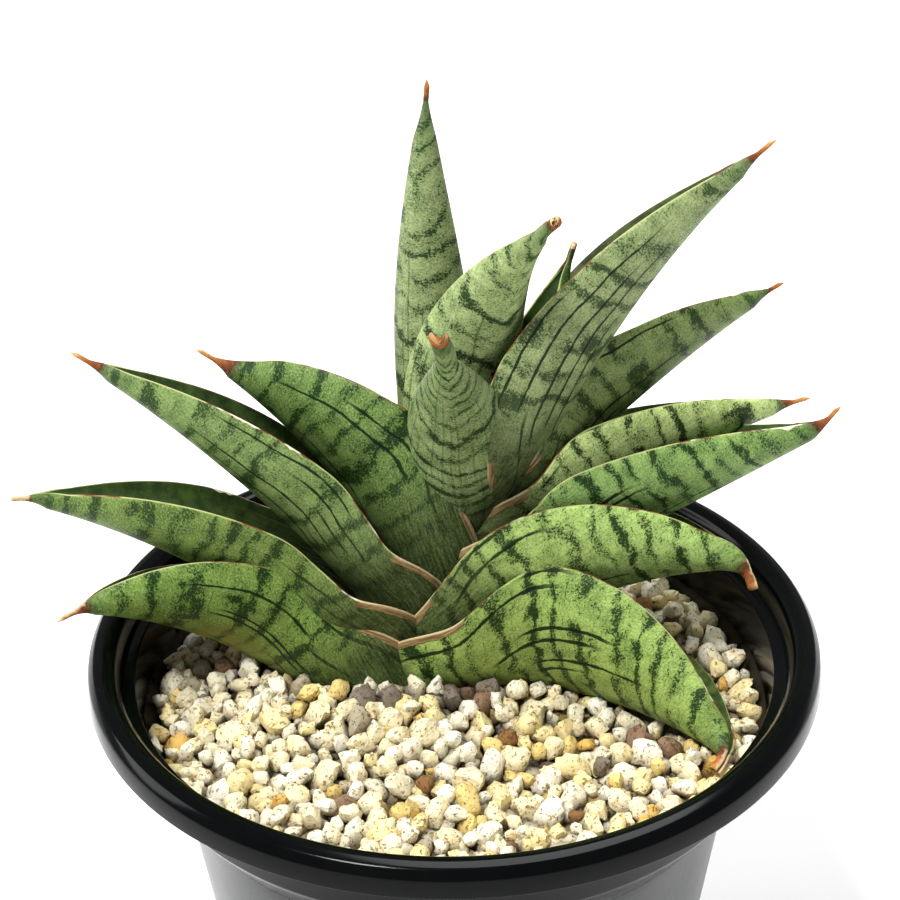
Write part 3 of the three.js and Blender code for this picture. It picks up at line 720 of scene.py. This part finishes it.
def leaf_piece(given, seed, skin_group):
    leaf = SimpleNamespace(**{**LEAF_FORM, **LEAF_LOOKS[given["name"]], **given})
    stations = leaf_stations(leaf)
    bm = bmesh.new()
    blade = bm.verts.layers.float_vector.new("blade")
    edge = bm.verts.layers.float_vector.new("edge")
    bmesh.ops.create_grid(bm, x_segments=LEAF_STATIONS, y_segments=LEAF_RING, size=1.0)
    ends = {0: [], LEAF_STATIONS: []}
    for vert in bm.verts:
        k = round((vert.co.x + 1) / 2 * LEAF_STATIONS)
        angle = (vert.co.y + 1) * math.pi
        u = k / LEAF_STATIONS
        place, v, margin, inner = leaf_point(stations[k], angle)
        vert[blade] = (v * stations[k][2], u * leaf.length, (1 - u) * leaf.length + SPINE.length)
        vert[edge] = (v, margin, inner)
        vert.co = place * MM
        if k in ends:
            ends[k].append(vert)
    apex = stations[-1][0] + stations[-1][1][0] * (-leaf.blunt if leaf.blunt else SPINE.length)
    grown = bmesh.ops.extrude_edge_only(
        bm, edges=[e for e in bm.edges if e.is_boundary and all(v in ends[LEAF_STATIONS] for v in e.verts)])
    tip = [item for item in grown["geom"] if isinstance(item, bmesh.types.BMVert)]
    bmesh.ops.pointmerge(bm, verts=tip, merge_co=apex * MM)
    bmesh.ops.remove_doubles(bm, verts=bm.verts, dist=1e-7)
    bmesh.ops.holes_fill(bm, edges=[e for e in bm.edges if e.is_boundary], sides=0)
    return make_piece(bm, leaf.name + "_blade", leaf_material(skin_group, leaf, seed), [leaf.name])


def stem_piece(material):
    foot, head = stem_point(STEM.buried_to), stem_point(STEM.top)
    axis = head - foot
    turn = axis.to_track_quat("Z", "Y").to_matrix().to_4x4()
    place = Matrix.Translation((foot + head) / 2 * MM) @ turn
    bm = bmesh.new()
    bmesh.ops.create_cone(bm, cap_ends=True, segments=32, radius1=STEM.foot_radius * MM,
                          radius2=STEM.top_radius * MM, depth=axis.length * MM, matrix=place)
    sides = [e for e in bm.edges if len(e.link_faces) == 2 and all(len(f.verts) == 4 for f in e.link_faces)]
    bmesh.ops.subdivide_edges(bm, edges=sides, cuts=24, use_grid_fill=True)
    return make_piece(bm, "stem_core", material, ["stem"], sharp=50)


# Pumice


def leaf_tree(piece):
    """A leaf's faces, for finding the distance to it."""
    shape = bmesh.new()
    shape.from_mesh(piece.data)
    tree = BVHTree.FromBMesh(shape)
    shape.free()
    return tree


def near_leaf(trees, place, reach):
    """Whether the place is inside a leaf or within reach of its skin."""
    for tree in trees:
        found, normal, _, distance = tree.find_nearest(place, LEAF_SEARCH * MM)
        if found is None:
            continue
        if distance < reach or (place - found).dot(normal) < 0:
            return True
    return False


def grain_top(x, y):
    """Highest level of the pumice, with a low mound round the stem."""
    lift = 1 - smooth(math.hypot(x - MOUND.x, y - MOUND.y), MOUND.flat, MOUND.reach)
    return GRAIN.top + MOUND.height * lift


def settle_grains(trees):
    """Drops grains one by one into the deepest of a few random places, until the pot is full."""
    rng = random.Random(GRAIN.seed)
    cells = defaultdict(list)
    size = 2 * GRAIN.largest

    def rest(x, y, radius):
        """Height at which a grain of this radius comes to lie."""
        outer = math.hypot(x, y) + GRAIN.lean * radius
        shoulder = SHOULDER.height + (outer - SHOULDER.inside) * SHOULDER.rise
        z = max(GRAIN.bottom + radius * rng.random(), shoulder)
        column, row = int(x // size), int(y // size)
        for i in (column - 1, column, column + 1):
            for j in (row - 1, row, row + 1):
                for ox, oy, oz, other in cells[i, j]:
                    touch = (radius + other) * GRAIN.nest
                    gap = touch * touch - (x - ox) ** 2 - (y - oy) ** 2
                    if gap > 0:
                        z = max(z, oz + math.sqrt(gap))
        return z

    grains = []
    misses = 0
    while misses < GRAIN.patience:
        radius = rng.triangular(GRAIN.smallest, GRAIN.largest, GRAIN.usual)
        best = (0, 0, 0, 0)
        for _ in range(GRAIN.tries):
            out = (GRAIN.wall - radius) * math.sqrt(rng.random())
            angle = rng.uniform(0, 2 * math.pi)
            x, y = out * math.cos(angle), out * math.sin(angle)
            z = rest(x, y, radius)
            room = grain_top(x, y) - z - radius
            if room > best[3] and not near_leaf(trees, Vector((x, y, z)) * MM, GRAIN.clear * radius * MM):
                best = (x, y, z, room)
        x, y, z, room = best
        if room == 0:
            misses += 1
            continue
        grains.append((x, y, z, radius))
        cells[int(x // size), int(y // size)].append((x, y, z, radius))
    return grains


def grain_template():
    bm = bmesh.new()
    bmesh.ops.create_cube(bm, size=1.0)
    bmesh.ops.subdivide_edges(bm, edges=bm.edges[:], cuts=2, use_grid_fill=True)
    for vert in bm.verts:
        vert.co = vert.co.normalized() * (0.8 + 0.2 * vert.co.length)
    return bm


def grains_piece(grains, material):
    """All grains in one mesh: the template is doubled until there are enough, then each is shaped."""
    bm = grain_template()
    number = bm.verts.layers.int.new("grain")
    tint = bm.verts.layers.float.new("grain_tint")
    deep = bm.verts.layers.float.new("grain_painted_shade")
    made = 1
    while made < len(grains):
        wanted = min(made, len(grains) - made)
        source = [v for v in bm.verts if v[number] < wanted]
        geometry = source + list({e for v in source for e in v.link_edges}) \
            + list({f for v in source for f in v.link_faces})
        copied = bmesh.ops.duplicate(bm, geom=geometry)["geom"]
        for item in copied:
            if isinstance(item, bmesh.types.BMVert):
                item[number] += made
        made += wanted
    rng = random.Random(GRAIN.seed + 1)
    forms = []
    for x, y, z, radius in grains:
        turn = Euler([rng.uniform(0, 2 * math.pi) for _ in range(3)]).to_matrix()
        stretch = Vector([rng.uniform(0.85, 1.35), rng.uniform(0.8, 1.1), rng.uniform(0.68, 0.98)]) * radius
        flats = [(Vector([rng.gauss(0, 1) for _ in range(3)]).normalized(), rng.uniform(0.5, 0.84))
                 for _ in range(GRAIN_FORM.facets)]
        shift = Vector([rng.uniform(0, 99) for _ in range(3)])
        forms.append((Vector((x, y, z)), turn, stretch, flats, shift, rng.random()))
    for vert in bm.verts:
        centre, turn, stretch, flats, shift, kind = forms[vert[number]]
        place = vert.co.copy()
        for facing, limit in flats:
            place -= facing * max(0.0, place.dot(facing) - limit) * GRAIN_FORM.flatness
        coarse = noise.noise(vert.co * GRAIN_FORM.coarse + shift)
        fine = noise.noise(vert.co * GRAIN_FORM.fine + shift)
        place *= GRAIN_FORM.size + GRAIN_FORM.lump * coarse + GRAIN_FORM.lump * fine
        shaped = centre + turn @ (place * stretch)
        # no grain reaches through the pot's wall
        wall = min(GRAIN.wall, SHOULDER.inside + (shaped.z - SHOULDER.height) / SHOULDER.rise) + 0.3
        if shaped.xy.length > wall:
            shaped.xy *= wall / shaped.xy.length
        vert.co = shaped * MM
        vert[tint] = kind
        # painted shade: the further a point lies below the pumice top, the darker it is painted
        vert[deep] = smooth(grain_top(shaped.x, shaped.y) - shaped.z, *GRAIN_PAINTED_SHADE)
    bm.verts.layers.int.remove(number)
    return make_piece(bm, "pumice_grains", material, ["pumice_bed"], sharp=48)


def fill_piece(material):
    """The pumice under the top grains, down to the pot's floor, in a darkened copy of the pumice material as
    painted shade for the gaps below the top grains.
    """
    profile = [
        (0, FLOOR + 0.45), (FOOT_RADIUS - 1.2, FLOOR + 0.45), (BODY_TOP.radius - 1.6, BODY_TOP.height + 1.2),
        (BODY_TOP.radius - 0.8, BODY_TOP.height + 2.7), (SHOULDER.inside + 2.4, GRAIN.bottom + 0.6),
        (0, GRAIN.bottom + 0.6)]
    bm = lathe(profile, 96)
    tint = bm.verts.layers.float.new("grain_tint")
    for vert in bm.verts:
        vert[tint] = 0.6
    return make_piece(bm, "pumice_fill", material, ["pumice_bed"], sharp=40)


# Studio


def make_floor():
    bm = bmesh.new()
    bmesh.ops.create_grid(bm, x_segments=1, y_segments=1, size=6.0)
    mesh = bpy.data.meshes.new("studio_floor")
    bm.to_mesh(mesh)
    bm.free()
    mesh.materials.append(floor_material())
    floor = bpy.data.objects.new("studio_floor", mesh)
    bpy.context.scene.collection.objects.link(floor)


def add_softbox(name, place, aim, size, power):
    light = bpy.data.lights.new(name, "AREA")
    light.shape = "DISK"
    light.size = size
    light.energy = power
    lamp = bpy.data.objects.new(name, light)
    lamp.location = place
    lamp.rotation_euler = (Vector(aim) - Vector(place)).to_track_quat("-Z", "Y").to_euler()
    bpy.context.scene.collection.objects.link(lamp)


def make_studio():
    """A pale room that lights softly, a broad sun from the upper left front, and two softboxes."""
    world = bpy.data.worlds.new("studio")
    world.use_nodes = True
    graph = Graph(world.node_tree)
    background = world.node_tree.nodes["Background"]
    seen = graph.node("ShaderNodeLightPath").outputs["Is Camera Ray"]
    graph.feed(background.inputs["Strength"], graph.math("MULTIPLY_ADD", seen, 0.7, 0.3))
    background.inputs["Color"].default_value = (1.0, 1.0, 1.0, 1.0)
    bpy.context.scene.world = world
    sun = bpy.data.lights.new("sun", "SUN")
    sun.energy = SUN_STRENGTH
    sun.angle = SUN_BREADTH
    lamp = bpy.data.objects.new("sun", sun)
    lamp.rotation_euler = (-Vector(SUN_FROM)).to_track_quat("-Z", "Y").to_euler()
    bpy.context.scene.collection.objects.link(lamp)
    centre = (0.0, 0.0, 0.10)
    add_softbox("top", (0.15, 0.30, 1.10), centre, 0.7, 9.0)
    add_softbox("left", (-0.80, 0.10, 0.45), centre, 0.5, 3.0)
    view = bpy.context.scene.view_settings
    view.view_transform = "Standard"
    view.look = "None"


def make_camera():
    forward = Vector((0, math.cos(CAMERA_PITCH), -math.sin(CAMERA_PITCH)))
    right = Vector((1, 0, 0))
    up = right.cross(forward)
    level, rolled = math.cos(CAMERA_ROLL), math.sin(CAMERA_ROLL)
    x_axis = right * level + up * rolled
    y_axis = up * level - right * rolled
    camera = bpy.data.cameras.new("camera")
    camera.sensor_width = SENSOR_WIDTH
    camera.lens = SENSOR_WIDTH * FOCAL_PIXELS / IMAGE_WIDTH
    camera.clip_start = 0.01
    holder = bpy.data.objects.new("camera", camera)
    axes = Matrix((x_axis, y_axis, -forward)).transposed().to_4x4()
    holder.matrix_world = Matrix.Translation(CAMERA_TARGET - forward * CAMERA_DISTANCE) @ axes
    bpy.context.scene.collection.objects.link(holder)
    bpy.context.scene.camera = holder


make_camera()
make_studio()
make_floor()

dust = dust_group()
skin = leaf_skin_group(leaf_bands_group())
pot_piece(pot_material(dust))
leaf_pieces = [leaf_piece(given, index + 1, skin) for index, given in enumerate(LEAVES)]
stem_piece(stem_material(dust))
lowest = [leaf_tree(piece) for piece in leaf_pieces[:4]]
grains_piece(settle_grains(lowest), pumice_material(dust, "pumice_top", 1.0))
# painted shade: the fill beneath the top grains is a darkened copy of the pumice
fill_piece(pumice_material(dust, "pumice_under_painted_shade", 0.3))
